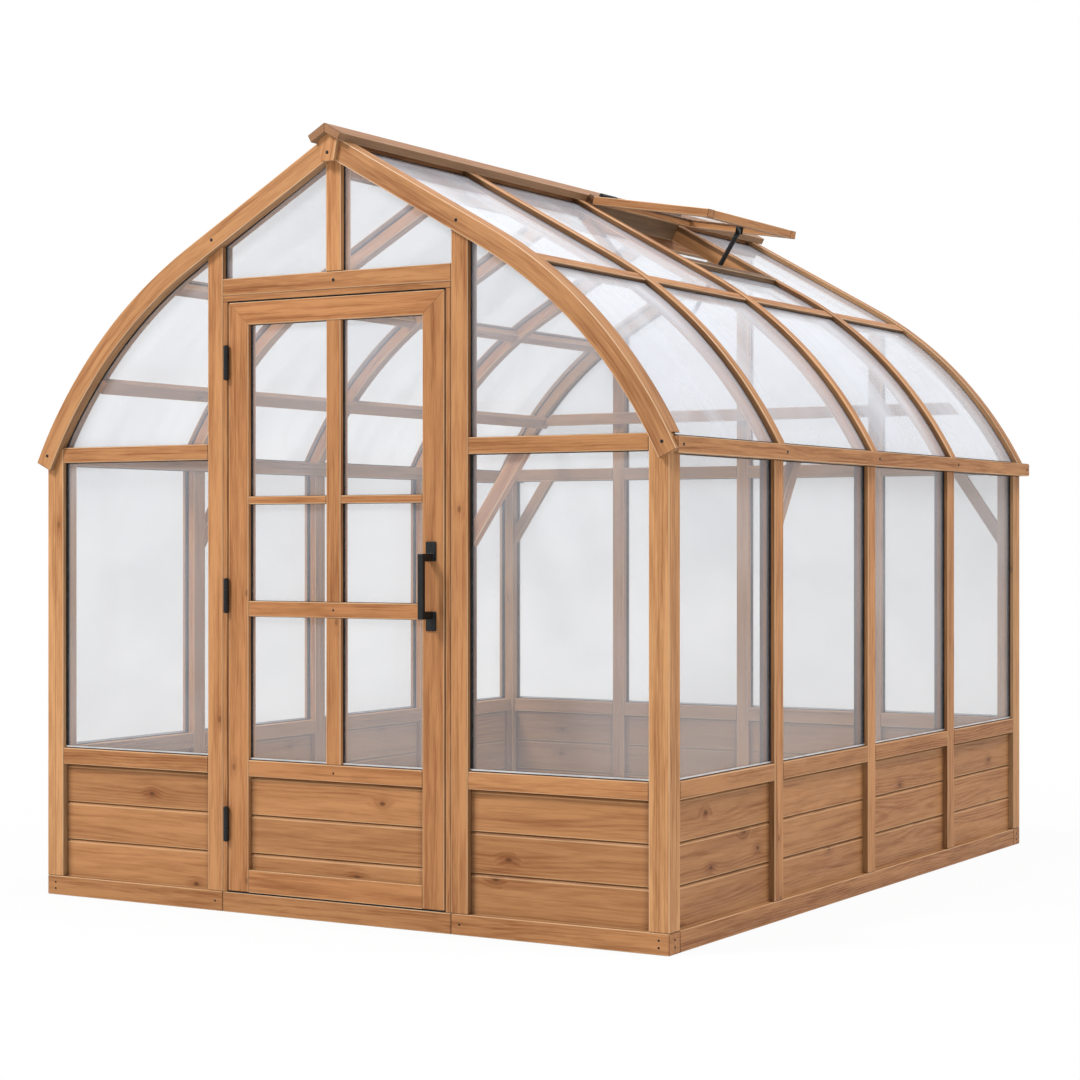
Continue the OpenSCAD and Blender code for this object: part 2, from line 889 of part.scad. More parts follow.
// The vent as opened: X down the sash, Z square to it, with the hinge line at the origin
module on_vent() {
    on_slope() translate([hinge_s, 0, hinge_v]) rotate([0, -vent_open, 0]) children();
}

module vent_sash() {
    w = [sash_low, sash_top];
    end = sash_u + sash_len;
    rail_y = [sash_y0 + sash_w + joint_gap, sash_y1 - sash_w - joint_gap];
    color(wood) on_vent() {
        box([sash_u, end], [sash_y0, sash_y0 + sash_w], w);
        box([sash_u, end], [sash_y1 - sash_w, sash_y1], w);
        box([sash_u, sash_u + sash_w], rail_y, w);
        box([end - sash_w, end], rail_y, w);
    }
}

module vent_pane() {
    recess = 3;
    top = sash_top - recess;
    color(glazing) on_vent()
        box([sash_u + sash_w, sash_u + sash_len - sash_w],
            [sash_y0 + sash_w, sash_y1 - sash_w], [top - glass_t, top]);
}

module vent_hinge_leaves() {
    color(black_metal) on_vent() lay_vent_hinges() moving_leaf(vent_leaf_d);
}

// Stay bracket under the sash: a plate on the bottom rail and two cheeks that hold the pin
module vent_bracket() {
    plate_t = 3;
    cheek_in = 5;
    cheek_out = 9;
    rim = 9;
    plate_half = 20;
    u = sash_u + sash_len - sash_w;
    top = sash_low + plate_half;
    color(black_metal) on_vent() translate([0, vent_mid, 0]) union() {
        box([u - plate_t, u], [-plate_half, plate_half], [sash_low, top]);
        for (side = [-1, 1]) translate([0, side * (cheek_in + cheek_out) / 2, 0])
            box([stay_pin_u - rim, u], [-(cheek_out - cheek_in) / 2, (cheek_out - cheek_in) / 2],
                [stay_pin_w - rim, top]);
        translate([stay_pin_u, cheek_out, stay_pin_w]) rotate([90, 0, 0])
            cylinder(r = stay_pin_r, h = 2 * cheek_out, $fn = 32);
    }
}

// Fork under the lower trimmer: a plate and two arms that carry the guide's trunnions
module stay_bracket() {
    arm_in = 19;
    arm_out = 24;
    rim = 9;
    plate_t = 3;
    face = trimmer_end - trimmer_w;
    low = -rib_d + 4;
    high = -30;
    color(black_metal) on_slope() translate([0, vent_mid, 0]) difference() {
        union() {
            box([face - plate_t, face], [-arm_out, arm_out], [low, high]);
            for (side = [-1, 1]) translate([0, side * (arm_in + arm_out) / 2, 0])
                box([stay_foot_s - rim, face],
                    [-(arm_out - arm_in) / 2, (arm_out - arm_in) / 2],
                    [stay_foot_v - rim, high]);
        }
        translate([stay_foot_s, arm_out + 1, stay_foot_v]) rotate([90, 0, 0])
            cylinder(r = trunnion_r + pin_gap, h = 2 * arm_out + 2, $fn = 32);
    }
}

// The stay's own frame: X up the rod towards the sash, with the guide's pivot at the origin
module on_stay() {
    on_slope() translate([stay_foot_s, vent_mid, stay_foot_v]) rotate([0, -stay_dir, 0])
        children();
}

module stay_guide() {
    shell = stay_d / 2 + 6;
    reach = 26;
    color(black_metal) on_stay() difference() {
        union() {
            translate([-guide_half, 0, 0]) rotate([0, 90, 0])
                cylinder(r = shell, h = 2 * guide_half, $fn = 48);
            translate([0, reach, 0]) rotate([90, 0, 0])
                cylinder(r = trunnion_r, h = 2 * reach, $fn = 32);
        }
        translate([-guide_half - 1, 0, 0]) rotate([0, 90, 0])
            cylinder(r = stay_d / 2 + slide_gap, h = 2 * guide_half + 2, $fn = 48);
    }
}

module stay_rod() {
    eye_t = 8;
    eye_h = stay_d;
    tip = 12;
    neck = 22;
    knob_t = 8;
    slot_r = stay_pin_r + pin_gap;
    color(black_metal) on_stay() difference() {
        union() {
            translate([-stay_tail, 0, 0]) rotate([0, 90, 0])
                cylinder(r = stay_d / 2, h = stay_tail + stay_len - neck, $fn = 48);
            translate([-stay_tail - knob_t, 0, 0]) rotate([0, 90, 0])
                cylinder(r = stay_d / 2 + 5, h = knob_t, $fn = 48);
            box([stay_len - neck - 2, stay_len + tip], [-eye_t / 2, eye_t / 2],
                [-eye_h / 2, eye_h / 2]);
        }
        translate([stay_len, 0, 0]) {
            for (x = [-eye_slot, eye_slot]) translate([x, eye_t, 0]) rotate([90, 0, 0])
                cylinder(r = slot_r, h = 2 * eye_t, $fn = 32);
            box([-eye_slot, eye_slot], [-eye_t, eye_t], [-slot_r, slot_r]);
        }
    }
}

base_rail_front_left();
base_rail_front_right();
door_threshold();
base_rails_side();
base_rail_rear();
corner_posts();
door_studs();
side_studs_left();
side_studs_right();
rear_studs();
sill_rails_front();
sill_rails_side();
sill_rails_rear();
boards_front();
boards_left();
boards_right();
boards_rear();
crossbars();
door_header();
king_post();
knee_braces();
eave_rail_left();
eave_rail_right();
arch_front_left();
arch_front_right();
arches_rear();
ribs_left();
ribs_right();
keystone_plate();
ridge_beam();
ridge_cap();
purlins();
inner_ties();
vent_trimmers();
wall_panes();
gable_panes();
roof_panes_flat();
roof_panes_curved();
frame_screws();
door_lining();
fixed_hinge_leaves();
hinge_pins();
door_catch();
stay_bracket();
door_stiles();
door_rails();
door_glazing_bars();
door_boards();
door_panes();
door_hinge_leaves();
door_handle();
door_catch_plate();
door_screws();
vent_sash();
vent_pane();
vent_hinge_leaves();
vent_bracket();
stay_guide();
stay_rod();
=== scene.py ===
# Wooden greenhouse with a curved glazed roof, a door in its front gable and a roof vent on a stay.
# Metres: X across the front, Y back along the ridge, Z up, with the ground at Z = 0.
import math
import random

import bpy
import bmesh
import numpy as np
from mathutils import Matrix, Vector


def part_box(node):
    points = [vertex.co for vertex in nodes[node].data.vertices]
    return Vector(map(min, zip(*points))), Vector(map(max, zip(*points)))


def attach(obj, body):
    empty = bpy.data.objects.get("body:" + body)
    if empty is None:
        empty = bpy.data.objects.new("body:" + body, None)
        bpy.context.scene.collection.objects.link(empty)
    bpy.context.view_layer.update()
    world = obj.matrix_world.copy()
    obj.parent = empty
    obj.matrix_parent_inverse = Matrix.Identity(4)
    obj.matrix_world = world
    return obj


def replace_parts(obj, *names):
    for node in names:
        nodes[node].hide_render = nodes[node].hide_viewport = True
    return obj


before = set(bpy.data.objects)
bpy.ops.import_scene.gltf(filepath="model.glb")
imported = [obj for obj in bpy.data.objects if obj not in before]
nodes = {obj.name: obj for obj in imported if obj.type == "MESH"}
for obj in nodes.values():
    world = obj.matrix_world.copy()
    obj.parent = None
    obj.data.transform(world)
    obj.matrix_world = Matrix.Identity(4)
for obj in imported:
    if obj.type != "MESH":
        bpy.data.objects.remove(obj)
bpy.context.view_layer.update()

# Base rails
# Planed cedar rails, 66 mm high, that lie on the ground under the walls and are screwed at the
# corners. All the timbers of the building share their oiled cedar finish and softened edges.


def put(tree, kind, inputs=None, **settings):
    """Adds a node to a tree of shader nodes, sets it up and joins what feeds it."""
    made = tree.nodes.new("ShaderNode" + kind)
    for name, value in settings.items():
        setattr(made, name, value)
    for key, value in (inputs or {}).items():
        if isinstance(value, bpy.types.NodeSocket):
            tree.links.new(value, made.inputs[key])
        else:
            made.inputs[key].default_value = value
    return made


def maths(tree, operation, a, b=0.0, c=0.0, clamp=False):
    made = put(tree, "Math", {0: a, 1: b, 2: c}, operation=operation, use_clamp=clamp)
    return made.outputs[0]


def ramp(tree, value, low, high, out_low=0.0, out_high=1.0):
    """A value that goes smoothly from out_low to out_high while the input goes from low to high."""
    made = put(tree, "MapRange", {0: value, 1: low, 2: high, 3: out_low, 4: out_high},
               interpolation_type="SMOOTHSTEP")
    return made.outputs[0]


def tint(tree, share, below, above, mode="MIX"):
    """Lays one colour over another, by a share from 0 to 1."""
    colours = [c if isinstance(c, bpy.types.NodeSocket) else (*c, 1.0) for c in (below, above)]
    made = put(tree, "Mix", {0: share, 6: colours[0], 7: colours[1]}, data_type="RGBA",
               blend_type=mode)
    return made.outputs[2]


def stretched_noise(tree, place, stretch, detail):
    """The value and the colour of a noise with so many waves per metre on each axis."""
    scaled = put(tree, "VectorMath", {0: place, 1: stretch}, operation="MULTIPLY")
    made = put(tree, "TexNoise", {"Vector": scaled.outputs[0], "Scale": 1.0, "Detail": detail,
                                  "Roughness": 0.55})
    return made.outputs[0], made.outputs[1]


def new_finish(name):
    material = bpy.data.materials.new(name)
    material.use_nodes = True
    return material, material.node_tree, material.node_tree.nodes["Principled BSDF"].inputs


def raise_bumps(tree, surface, height, strength, distance):
    bump = put(tree, "Bump", {"Height": height, "Strength": strength, "Distance": distance})
    tree.links.new(bump.outputs["Normal"], surface["Normal"])


# Noises along, across and into a timber, in waves per metre
wander_scale, waver_scale, broad_scale = (1.3, 4.0, 4.0), (5.5, 24.0, 24.0), (0.9, 20.0, 20.0)
patch_scale, streak_scale = (5.0, 48.0, 48.0), (1.8, 95.0, 95.0)
fleck_scale, fibre_scale = (16.0, 210.0, 210.0), (9.0, 380.0, 380.0)
# Cells per metre along and across a board, of which some have a knot, and its reach in cells
knot_net, knotless_share, bend_reach, knot_reach = (3.4, 6.0), 0.6, (0.22, 0.02), (0.052, 0.022)
# How far the pith wanders across and into a timber, how far it lies off for each board, off the
# middle and into the timber, and how far the rings are pushed in by a knot
pith_wander, pith_by_board, pith_across, pith_into = (0.075, 0.05), 0.05, -0.065, 0.012
knot_push = 0.012
# The turn of the rings for each metre out from the pith, and by the fibres
ring_turn, fibre_turn = 760.0, 1.6
# How far a board's grain lies from the next one's, and how far fibres waver across and into it
board_step, waver_reach = (17.0, 7.0, 11.0), (0.0, 0.009, 0.009)
# Late wood, by each noise's values and the shares at them: broad, patch, streak, fibre, fleck
drawn_late = ((0.32, 0.7, -0.12, 0.32), (0.3, 0.72, -0.2, 0.28), (0.52, 0.76, 0.0, 0.5),
              (0.28, 0.72, -0.15, 0.19), (0.6, 0.78, 0.0, -0.22))
ringed_late, late_by_knot, least_late = (0.35, 0.65, 0.1, 1.0), 0.5, 0.14
# The tones that boards differ by, and how dark a knot is
board_tones, knot_dark = (0.92, 1.06), 0.8
# How far inside the broad faces knots end, how far from an edge the painted highlight and the
# joint dirt begin and are full, how patches thin the highlight, and the painted highlight along
# the foot of a chamfer
broad_face, edge_reach = (0.004, 0.002), (0.004, 0.0006)
patchy_highlight, chamfer_highlight = (0.25, 0.65, 0.25, 0.85), (0.0024, 0.0008, 0.0, 0.6)
# How much a face is painted greyer and darker, as painted shade, by how far it looks into the
# building
inward_shade_share = (0.1, 0.7, 0.0, 0.38)
# Dirt at a joint, and painted shade at a board's end and up a chamfer in parts of its height
joint_dirt, end_shade, chamfer_shade = 0.5, (0.035, 0.0, 0.0, 0.42), (-0.25, -0.75, 0.0, 0.5)
# Painted shade by the depth behind the wall's outer face: at its edge, behind the glass, and
# fading inward
outer_edge_shade, behind_glass_shade, faded_shade = ((0.0002, 0.002, 0.0, 0.42), (0.016, 0.024, 0.0, 0.5),
                                      (0.026, 0.06, 0.0, 0.5))
# Painted shade on a roof beam: in from its side, past the glass in its rebate, and below its
# upper face
side_shade, past_glass, under_top = (0.004, 0.001, 0.0, 0.72), (0.006, -0.002), (0.002, 0.008)
# Half a glue line's width, the wood's roughness, and how high fibres, late wood and knots stand
glue_reach, cedar_rough, late_rough = (0.0022, 0.0006), (0.2, 0.8, 0.42, 0.58), 0.06
fibre_height, late_height, knot_height = 0.7, 0.25, -0.6
knot_tone, glue_tone, dirt_and_shade_tone = (0.11, 0.04, 0.014), (0.19, 0.075, 0.028), (0.05, 0.024, 0.012)
inward_shade_tone, bounced_tone = (0.27, 0.202, 0.125), (0.36, 0.32, 0.27)
cedar_inputs = {"Early wood": "Color", "Late wood": "Color", "Edge highlight and joint line": "Color",
                "Ring contrast": "Float", "Knots": "Float", "Glue line": "Float",
                "Chamfer": "Float", "Rebate": "Float", "Streaks": "Float"}
cedar_outputs = {"Color": "Color", "Roughness": "Float", "Height": "Float"}


def knots_on(group, along, across, share):
    """Masks of the grain that bends round a knot, and of the knots, in a few cells of a net."""
    net = put(group, "CombineXYZ", {0: maths(group, "MULTIPLY", along, knot_net[0]),
                                    1: maths(group, "MULTIPLY", across, knot_net[1])})
    cells = put(group, "TexVoronoi", {"Vector": net.outputs[0], "Scale": 1.0, "Randomness": 0.9},
                voronoi_dimensions="2D").outputs
    picked = put(group, "SeparateColor", {0: cells["Color"]}).outputs[0]
    picked = maths(group, "MULTIPLY", maths(group, "GREATER_THAN", picked, knotless_share), share)
    return [maths(group, "MULTIPLY", ramp(group, cells["Distance"], *reach), picked)
            for reach in (bend_reach, knot_reach)]


def rings_in(group, moved, at, board, fibre, near_knot):
    """The late wood of year rings round a pith that wanders slowly along the timber."""
    wander = stretched_noise(group, moved, wander_scale, 1.5)[1]
    wander = put(group, "SeparateColor", {0: wander}).outputs
    across = maths(group, "MULTIPLY_ADD", wander[0], pith_wander[0], at[1])
    across = maths(group, "ADD", across,
                   maths(group, "MULTIPLY_ADD", board, pith_by_board, pith_across))
    into = maths(group, "MULTIPLY_ADD", wander[1], pith_wander[1], at[2])
    into = maths(group, "ADD", into,
                 maths(group, "MULTIPLY_ADD", near_knot, knot_push, pith_into))
    from_pith = maths(group, "SQRT", maths(group, "ADD", maths(group, "POWER", across, 2.0),
                                           maths(group, "POWER", into, 2.0)))
    turn = maths(group, "MULTIPLY", from_pith, ring_turn)
    turn = maths(group, "MULTIPLY_ADD", fibre, fibre_turn, turn)
    return ramp(group, maths(group, "SINE", turn), -0.5, 1.0)


def late_share(group, late, fibre, broad, patch, wavy, near_knot, given):
    """How much late wood shows at each point, from the rings, the noises and the knots."""
    streak = stretched_noise(group, wavy, streak_scale, 2.0)[0]
    fleck = stretched_noise(group, wavy, fleck_scale, 1.0)[0]
    drawn = 0.0
    for mask, reach in zip((broad, patch, streak, fibre, fleck), drawn_late):
        drawn = maths(group, "ADD", ramp(group, mask, *reach), drawn)
    share = maths(group, "MULTIPLY", late, given["Ring contrast"])
    share = maths(group, "MULTIPLY", share, ramp(group, broad, *ringed_late))
    share = maths(group, "ADD", share, maths(group, "MULTIPLY", drawn, given["Streaks"]))
    share = maths(group, "ADD", share, maths(group, "MULTIPLY", near_knot, late_by_knot))
    return maths(group, "ADD", share, least_late, clamp=True)


def reveal_shade(group):
    """Painted shade on the faces beside a pane: at the wall's outer edge, and again behind the
    glass.
    """
    behind = put(group, "Attribute", attribute_name="reveal").outputs["Fac"]
    darkening = maths(group, "ADD", ramp(group, behind, *outer_edge_shade), ramp(group, behind, *behind_glass_shade))
    return maths(group, "SUBTRACT", darkening, ramp(group, behind, *faded_shade))


def rebate_shade(group, inside, below_top, rebate):
    """Painted shade on a roof beam's sides, between its upper face and the glass in its rebate."""
    side = ramp(group, inside[1], *side_shade)
    above_glass = ramp(group, maths(group, "SUBTRACT", below_top, rebate), *past_glass)
    above_glass = maths(group, "MULTIPLY", above_glass, ramp(group, below_top, *under_top))
    darkening = maths(group, "MULTIPLY", side, above_glass)
    return maths(group, "MULTIPLY", darkening, maths(group, "GREATER_THAN", rebate, 0.0))


def cedar_grain():
    """Year rings, fibres, small knots, painted edge highlights, dirt and painted shade, laid along
    each timber.
    """
    group = bpy.data.node_groups.new("cedar_grain", "ShaderNodeTree")
    for in_out, sockets in (("INPUT", cedar_inputs), ("OUTPUT", cedar_outputs)):
        for name, kind in sockets.items():
            group.interface.new_socket(name, in_out=in_out, socket_type="NodeSocket" + kind)
    given = group.nodes.new("NodeGroupInput").outputs
    out = group.nodes.new("NodeGroupOutput").inputs

    # Where a point lies in its timber, how far inside each pair of faces, and moved for each board
    place = put(group, "Attribute", attribute_name="grain").outputs["Vector"]
    half = put(group, "Attribute", attribute_name="half").outputs["Vector"]
    board = put(group, "Attribute", attribute_name="board").outputs["Fac"]
    step = put(group, "VectorMath", {0: board_step, 3: board}, operation="SCALE")
    moved = put(group, "VectorMath", {0: place, 1: step.outputs[0]}, operation="ADD").outputs[0]
    at, moved_at, size = (put(group, "SeparateXYZ", {0: v}).outputs for v in (place, moved, half))
    inside = [maths(group, "SUBTRACT", size[axis], maths(group, "ABSOLUTE", at[axis]))
              for axis in range(3)]

    # Knots on the broad faces alone, and fibres that waver along the timber
    knot_share = maths(group, "MULTIPLY", ramp(group, inside[2], *broad_face), given["Knots"])
    near_knot, knot = knots_on(group, moved_at[0], moved_at[1], knot_share)
    waver = stretched_noise(group, moved, waver_scale, 2.0)[1]
    waver = put(group, "VectorMath", {0: waver, 1: waver_reach}, operation="MULTIPLY")
    wavy = put(group, "VectorMath", {0: moved, 1: waver.outputs[0]}, operation="ADD").outputs[0]
    fibre = stretched_noise(group, wavy, fibre_scale, 3.0)[0]
    broad = stretched_noise(group, moved, broad_scale, 3.0)[0]
    patch = stretched_noise(group, wavy, patch_scale, 3.0)[0]

    # The wood's colour: late wood over early wood, each board a little apart, and dark knots
    late = rings_in(group, moved, at, board, fibre, near_knot)
    share = late_share(group, late, fibre, broad, patch, wavy, near_knot, given)
    colour = tint(group, share, given["Early wood"], given["Late wood"])
    tone = ramp(group, board, 0.0, 1.0, *board_tones)
    tone = put(group, "CombineColor", {0: tone, 1: tone, 2: tone}).outputs[0]
    colour = tint(group, 1.0, colour, tone, "MULTIPLY")
    colour = tint(group, maths(group, "MULTIPLY", knot, knot_dark), colour, knot_tone)

    # Painted highlights where two faces of the timber meet, and along the foot of a board's
    # chamfer;
    # on the lining the edge tone is a dark joint line instead
    reach = [ramp(group, depth, *edge_reach) for depth in inside]
    long_edge, top_end, side_end = (maths(group, "MULTIPLY", reach[a], reach[b])
                                    for a, b in ((1, 2), (0, 1), (0, 2)))
    edge = maths(group, "MULTIPLY", long_edge, ramp(group, patch, *patchy_highlight))
    chamfered = maths(group, "GREATER_THAN", given["Chamfer"], 0.0)
    below_chamfer = maths(group, "SUBTRACT", size[1], given["Chamfer"])
    below_chamfer = maths(group, "SUBTRACT", below_chamfer, at[1])
    chamfer_line = ramp(group, maths(group, "ABSOLUTE", below_chamfer), *chamfer_highlight)
    edge = maths(group, "MAXIMUM", edge, maths(group, "MULTIPLY", chamfer_line, chamfered))
    colour = tint(group, edge, colour, given["Edge highlight and joint line"])

    # Painted shade: faces that look into the building are painted a greyer, darker tan
    inward = put(group, "Attribute", attribute_name="inside").outputs["Fac"]
    colour = tint(group, ramp(group, inward, *inward_shade_share), colour, inward_shade_tone)

    # Dirt at the timber's ends, and painted shade near a board's ends, up each chamfer, beside the
    # panes and down the roof beams' sides
    joint = maths(group, "MULTIPLY", maths(group, "MAXIMUM", top_end, side_end), joint_dirt)
    board_end_shade = maths(group, "MULTIPLY", ramp(group, inside[0], *end_shade), chamfered)
    up_chamfer = maths(group, "DIVIDE", below_chamfer, given["Chamfer"])
    below_top = maths(group, "ADD", at[2], size[2])
    darkening = joint
    for more in (ramp(group, up_chamfer, *chamfer_shade), board_end_shade, reveal_shade(group),
                 rebate_shade(group, inside, below_top, given["Rebate"])):
        darkening = maths(group, "MAXIMUM", darkening, more)
    colour = tint(group, darkening, colour, dirt_and_shade_tone)

    # The glue line down the middle of a post that is laid up from two timbers
    off_middle = maths(group, "MINIMUM", maths(group, "ABSOLUTE", at[1]),
                       maths(group, "ABSOLUTE", at[2]))
    glued = maths(group, "MULTIPLY", ramp(group, off_middle, *glue_reach), given["Glue line"])
    colour = tint(group, glued, colour, glue_tone)

    rough = maths(group, "ADD", ramp(group, fibre, *cedar_rough),
                  maths(group, "MULTIPLY", late, late_rough))
    height = maths(group, "MULTIPLY_ADD", fibre, fibre_height,
                   maths(group, "MULTIPLY", late, late_height))
    height = maths(group, "ADD", height, maths(group, "MULTIPLY", knot, knot_height))
    for name, value in (("Color", colour), ("Roughness", rough), ("Height", height)):
        group.links.new(value, out[name])
    return group


cedar = cedar_grain()


def timber_finish(name, early, late, edge_tone, rings=0.3, knots=1.0, relief=0.35, glue_line=0.0,
                  chamfer=0.0, rebate=0.0, streaks=1.0):
    """Oiled cedar, with its edge tone painted along the edges as a highlight, and on the lining as
    a dark joint line. The chamfer and the rebate are given in metres, the rest are shares.
    """
    material, tree, surface = new_finish(name)
    wood = tree.nodes.new("ShaderNodeGroup")
    wood.node_tree = cedar
    for key, value in (("Early wood", (*early, 1.0)), ("Late wood", (*late, 1.0)),
                       ("Edge highlight and joint line", (*edge_tone, 1.0)), ("Ring contrast", rings), ("Knots", knots),
                       ("Glue line", glue_line), ("Chamfer", chamfer), ("Rebate", rebate),
                       ("Streaks", streaks)):
        wood.inputs[key].default_value = value
    bounced = maths(tree, "MULTIPLY", put(tree, "LightPath").outputs["Is Diffuse Ray"], 0.8)
    tree.links.new(tint(tree, bounced, wood.outputs["Color"], bounced_tone), surface["Base Color"])
    tree.links.new(wood.outputs["Roughness"], surface["Roughness"])
    raise_bumps(tree, surface, wood.outputs["Height"], relief, 0.0007)
    surface["Specular IOR Level"].default_value = 0.2
    return material


def separate_solids(mesh):
    """The points of each separate solid of a mesh, and its real edges as (length, direction)."""
    places = np.array([v.co for v in mesh.vertices], float).reshape(-1, 3)
    _, same = np.unique(np.round(places * 1e5).astype(int), axis=0, return_inverse=True)
    same = same.ravel()
    leader = list(range(same.max() + 1))

    def lead(i):
        while leader[i] != i:
            leader[i] = leader[leader[i]]
            i = leader[i]
        return i

    sides = {}
    for face in mesh.polygons:
        ring = [int(same[i]) for i in face.vertices]
        for a, b in zip(ring, ring[1:] + ring[:1]):
            leader[lead(a)] = lead(b)
            sides.setdefault((min(a, b), max(a, b)), []).append(face.normal.copy())
    first = {int(s): i for i, s in reversed(list(enumerate(same)))}
    edges = {}
    for (a, b), normals in sides.items():
        if len(normals) < 2 or normals[0].dot(normals[1]) < 0.99:
            line = Vector(places[first[b]] - places[first[a]])
            if line.length > 1e-4:
                edges.setdefault(lead(a), []).append((line.length, line.normalized()))
    groups = {}
    for i, s in enumerate(same):
        groups.setdefault(lead(int(s)), []).append(i)
    return places, [(np.array(members), edges[key]) for key, members in sorted(groups.items())]


def straight_grain(points, edges):
    """Places of a straight timber's points along, across and into it."""
    along = max(edges, key=lambda e: e[0])[1]
    square_on = [e for e in edges if abs(e[1].dot(along)) < 0.3]
    across = max(square_on, key=lambda e: e[0])[1]
    across = (across - along * across.dot(along)).normalized()
    if across.z < -0.01:
        across.negate()
    axes = np.array([along, across, along.cross(across)])
    return points @ axes.T


# Beyond these places a face belongs to a side wall, to a gable or to the roof
side_wall_x, gable_y, roof_z = 0.5, 1.35, 1.49


def looks_inward(face):
    """How far a face looks into the building, from a side wall, a gable or the roof."""
    middle, way = face.center, face.normal
    looks = [0.0]
    if abs(middle.x) > side_wall_x:
        looks.append(-way.x * math.copysign(1.0, middle.x))
    if abs(middle.y) > gable_y:
        looks.append(-way.y * math.copysign(1.0, middle.y))
    if middle.z > roof_z:
        looks.append(-way.z)
    return max(looks)


def lay_grain(node, follow):
    """Writes on a node where each point lies in its own timber, which the cedar grain reads."""
    mesh = nodes[node].data
    places, solids = separate_solids(mesh)
    grain, half, board = np.zeros_like(places), np.zeros_like(places), np.zeros(len(places))
    pick = random.Random(node)
    for members, edges in solids:
        laid = follow(places[members], edges)
        low, high = laid.min(0), laid.max(0)
        grain[members] = laid - (low + high) / 2
        half[members] = (high - low) / 2
        board[members] = pick.random()
    for name, values in (("grain", grain), ("half", half)):
        written = mesh.attributes.new(name, "FLOAT_VECTOR", "POINT").data
        written.foreach_set("vector", values.ravel())
    mesh.attributes.new("board", "FLOAT", "POINT").data.foreach_set("value", board)
    inward = mesh.attributes.new("inside", "FLOAT", "CORNER").data
    for face in mesh.polygons:
        for corner in face.loop_indices:
            inward[corner].value = looks_inward(face)


def soften_edges(name, width, segments=2):
    """Joins a node's faces and rounds the edges between them, as sanding does."""
    piece = nodes[name]
    piece.modifiers.new("join", "WELD").merge_threshold = 0.00001
    bevel = piece.modifiers.new("soften", "BEVEL")
    bevel.width = width
    bevel.segments = segments
    bevel.limit_method = "ANGLE"
    bevel.angle_limit = math.radians(30)
    piece.modifiers.new("shade", "WEIGHTED_NORMAL").keep_sharp = True
    for face in piece.data.polygons:
        face.use_smooth = True


def finish_node(name, material):
    nodes[name].data.materials.clear()
    nodes[name].data.materials.append(material)


def dress_timbers(names, material, softness=0.003, follow=straight_grain):
    for name in names:
        lay_grain(name, follow)
        soften_edges(name, softness)
        finish_node(name, material)


# The lighter edge tone is a painted highlight along the timbers' edges
early_cedar, late_cedar, edge_highlight_cedar = (0.57, 0.268, 0.108), (0.29, 0.105, 0.034), (0.83, 0.55, 0.32)
rail_cedar = timber_finish("rail_cedar", early_cedar, late_cedar, edge_highlight_cedar)
dress_timbers(["base_rail_front_left", "base_rail_front_right", "door_threshold",
               "base_rails_side", "base_rail_rear"], rail_cedar)

# Posts and studs
# Square corner posts and lighter studs of straight-grained cedar, which stand on the base rails.
# The studs beside the door run up to the gable arch.
wall_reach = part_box("corner_posts")[1]


def mark_reveals(name, axis, deepest=1.0):
    """Writes how deep each face beside a pane lies behind the wall's outer face, for its painted
    shade.
    """
    mesh = nodes[name].data
    depth = mesh.attributes.new("reveal", "FLOAT", "CORNER").data
    for face in mesh.polygons:
        if abs(face.normal[axis]) > 0.9:
            for corner in face.loop_indices:
                place = mesh.vertices[mesh.loops[corner].vertex_index].co
                depth[corner].value = min(deepest, wall_reach[1 - axis] - abs(place[1 - axis]))


mark_reveals("door_studs", 0)
# The painted shade on the right wall's studs doesn't fade inward
mark_reveals("side_studs_right", 1, deepest=faded_shade[0])
stud_cedar = timber_finish("stud_cedar", (0.62, 0.295, 0.120), (0.33, 0.122, 0.041), edge_highlight_cedar,
                           rings=0.25, knots=0.7)
dress_timbers(["door_studs", "side_studs_left", "side_studs_right", "rear_studs", "king_post"],
              stud_cedar)
post_cedar = timber_finish("post_cedar", (0.71, 0.365, 0.158), (0.40, 0.165, 0.06), edge_highlight_cedar,
                           rings=0.25, knots=0.6, glue_line=0.45)
dress_timbers(["corner_posts"], post_cedar)

# Rails between the posts
# Sill rails over the boards, crossbars at the eave, the door header, and the braces and ties
# inside. They are cut square between the posts and screwed from the back.
dress_timbers(["sill_rails_front", "sill_rails_side", "sill_rails_rear", "crossbars",
               "door_header", "knee_braces", "inner_ties"], rail_cedar)

# Boards of the lower walls
# Three flat-sawn cedar boards let into each bay, with a chamfer along the upper edge that throws
# a shadow line. Their streaks are softer and their knots more frequent than in the posts.
board_chamfer, board_softness = 0.011, 0.0015
# Painted shade darkens each chamfer and the boards' ends; a painted highlight runs along the
# chamfer's foot
board_cedar = timber_finish("board_cedar", (0.545, 0.258, 0.104), (0.285, 0.104, 0.035),
                            (0.74, 0.46, 0.24), relief=0.4, chamfer=board_chamfer, streaks=0.68)
dress_timbers(["boards_front", "boards_left", "boards_right", "boards_rear"], board_cedar,
              board_softness)

# Eave rails
# Cedar rails on top of the side walls, which carry the feet of the ribs and stick out 30 mm. Their
# edges are rounded more than those of the other timbers.
dress_timbers(["eave_rail_left", "eave_rail_right"], rail_cedar, 0.007)

# Gable arches and ribs
# Laminated curved beams of cedar, straight from the ridge and then bent down to the eave. The
# grain follows the bend, and a bright painted highlight runs along their edges.
curve_r, pitch = 1.6, math.radians(29.5)
# The curve's angle from upright where it meets the eave, and that place
curve_foot, eave_x, eave_z = math.radians(62.2), 1.228, 1.550
arc_x = eave_x - curve_r * math.sin(curve_foot)
arc_z = eave_z - curve_r * math.cos(curve_foot)


